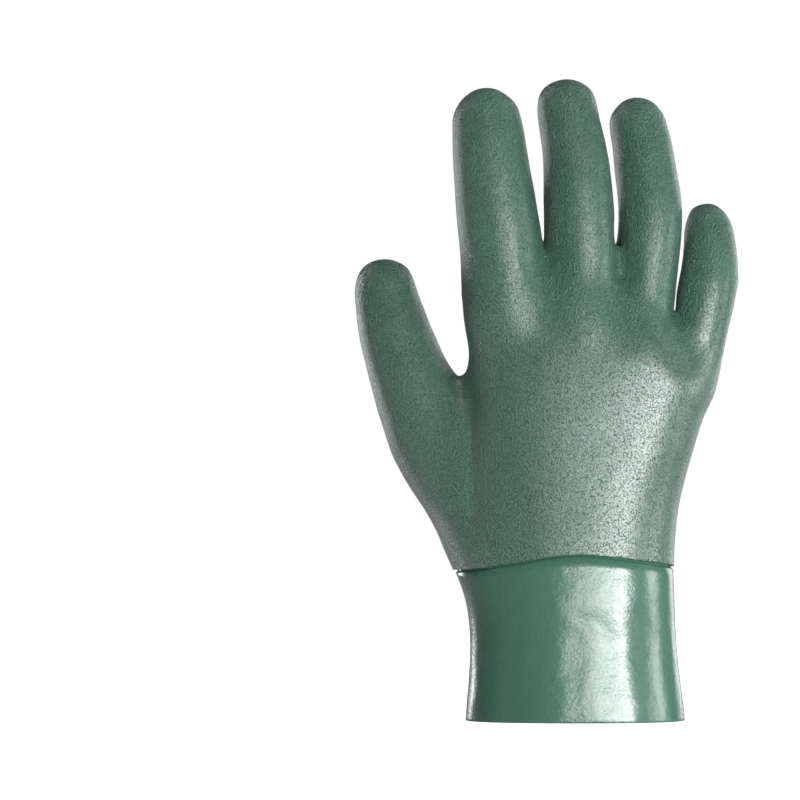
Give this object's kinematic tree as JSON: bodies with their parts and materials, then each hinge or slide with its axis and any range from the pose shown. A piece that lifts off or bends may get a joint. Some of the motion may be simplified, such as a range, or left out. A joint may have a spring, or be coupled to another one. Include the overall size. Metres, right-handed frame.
{
  "type": "pvc coated work glove",
  "caption": "Right-hand work glove with a rough dipped coat over fingers, thumb and palm, and a smooth flared cuff.",
  "frame": {"origin": "under the middle of the glove's bounding box, in the plane of the cuff's rim", "axes": "+Z from the cuff's rim towards the fingertips, -Y out of the back of the hand, +Y out of the palm, -X towards the thumb"},
  "size_m": [0.156, 0.0728, 0.2604],
  "materials": {
    "coat": "rough crinkled green PVC",
    "cuff": "smooth glossy green PVC"
  },
  "bodies": {
    "root": {"hand_shell": "coat", "cuff": "cuff"}
  },
  "joints": []
}
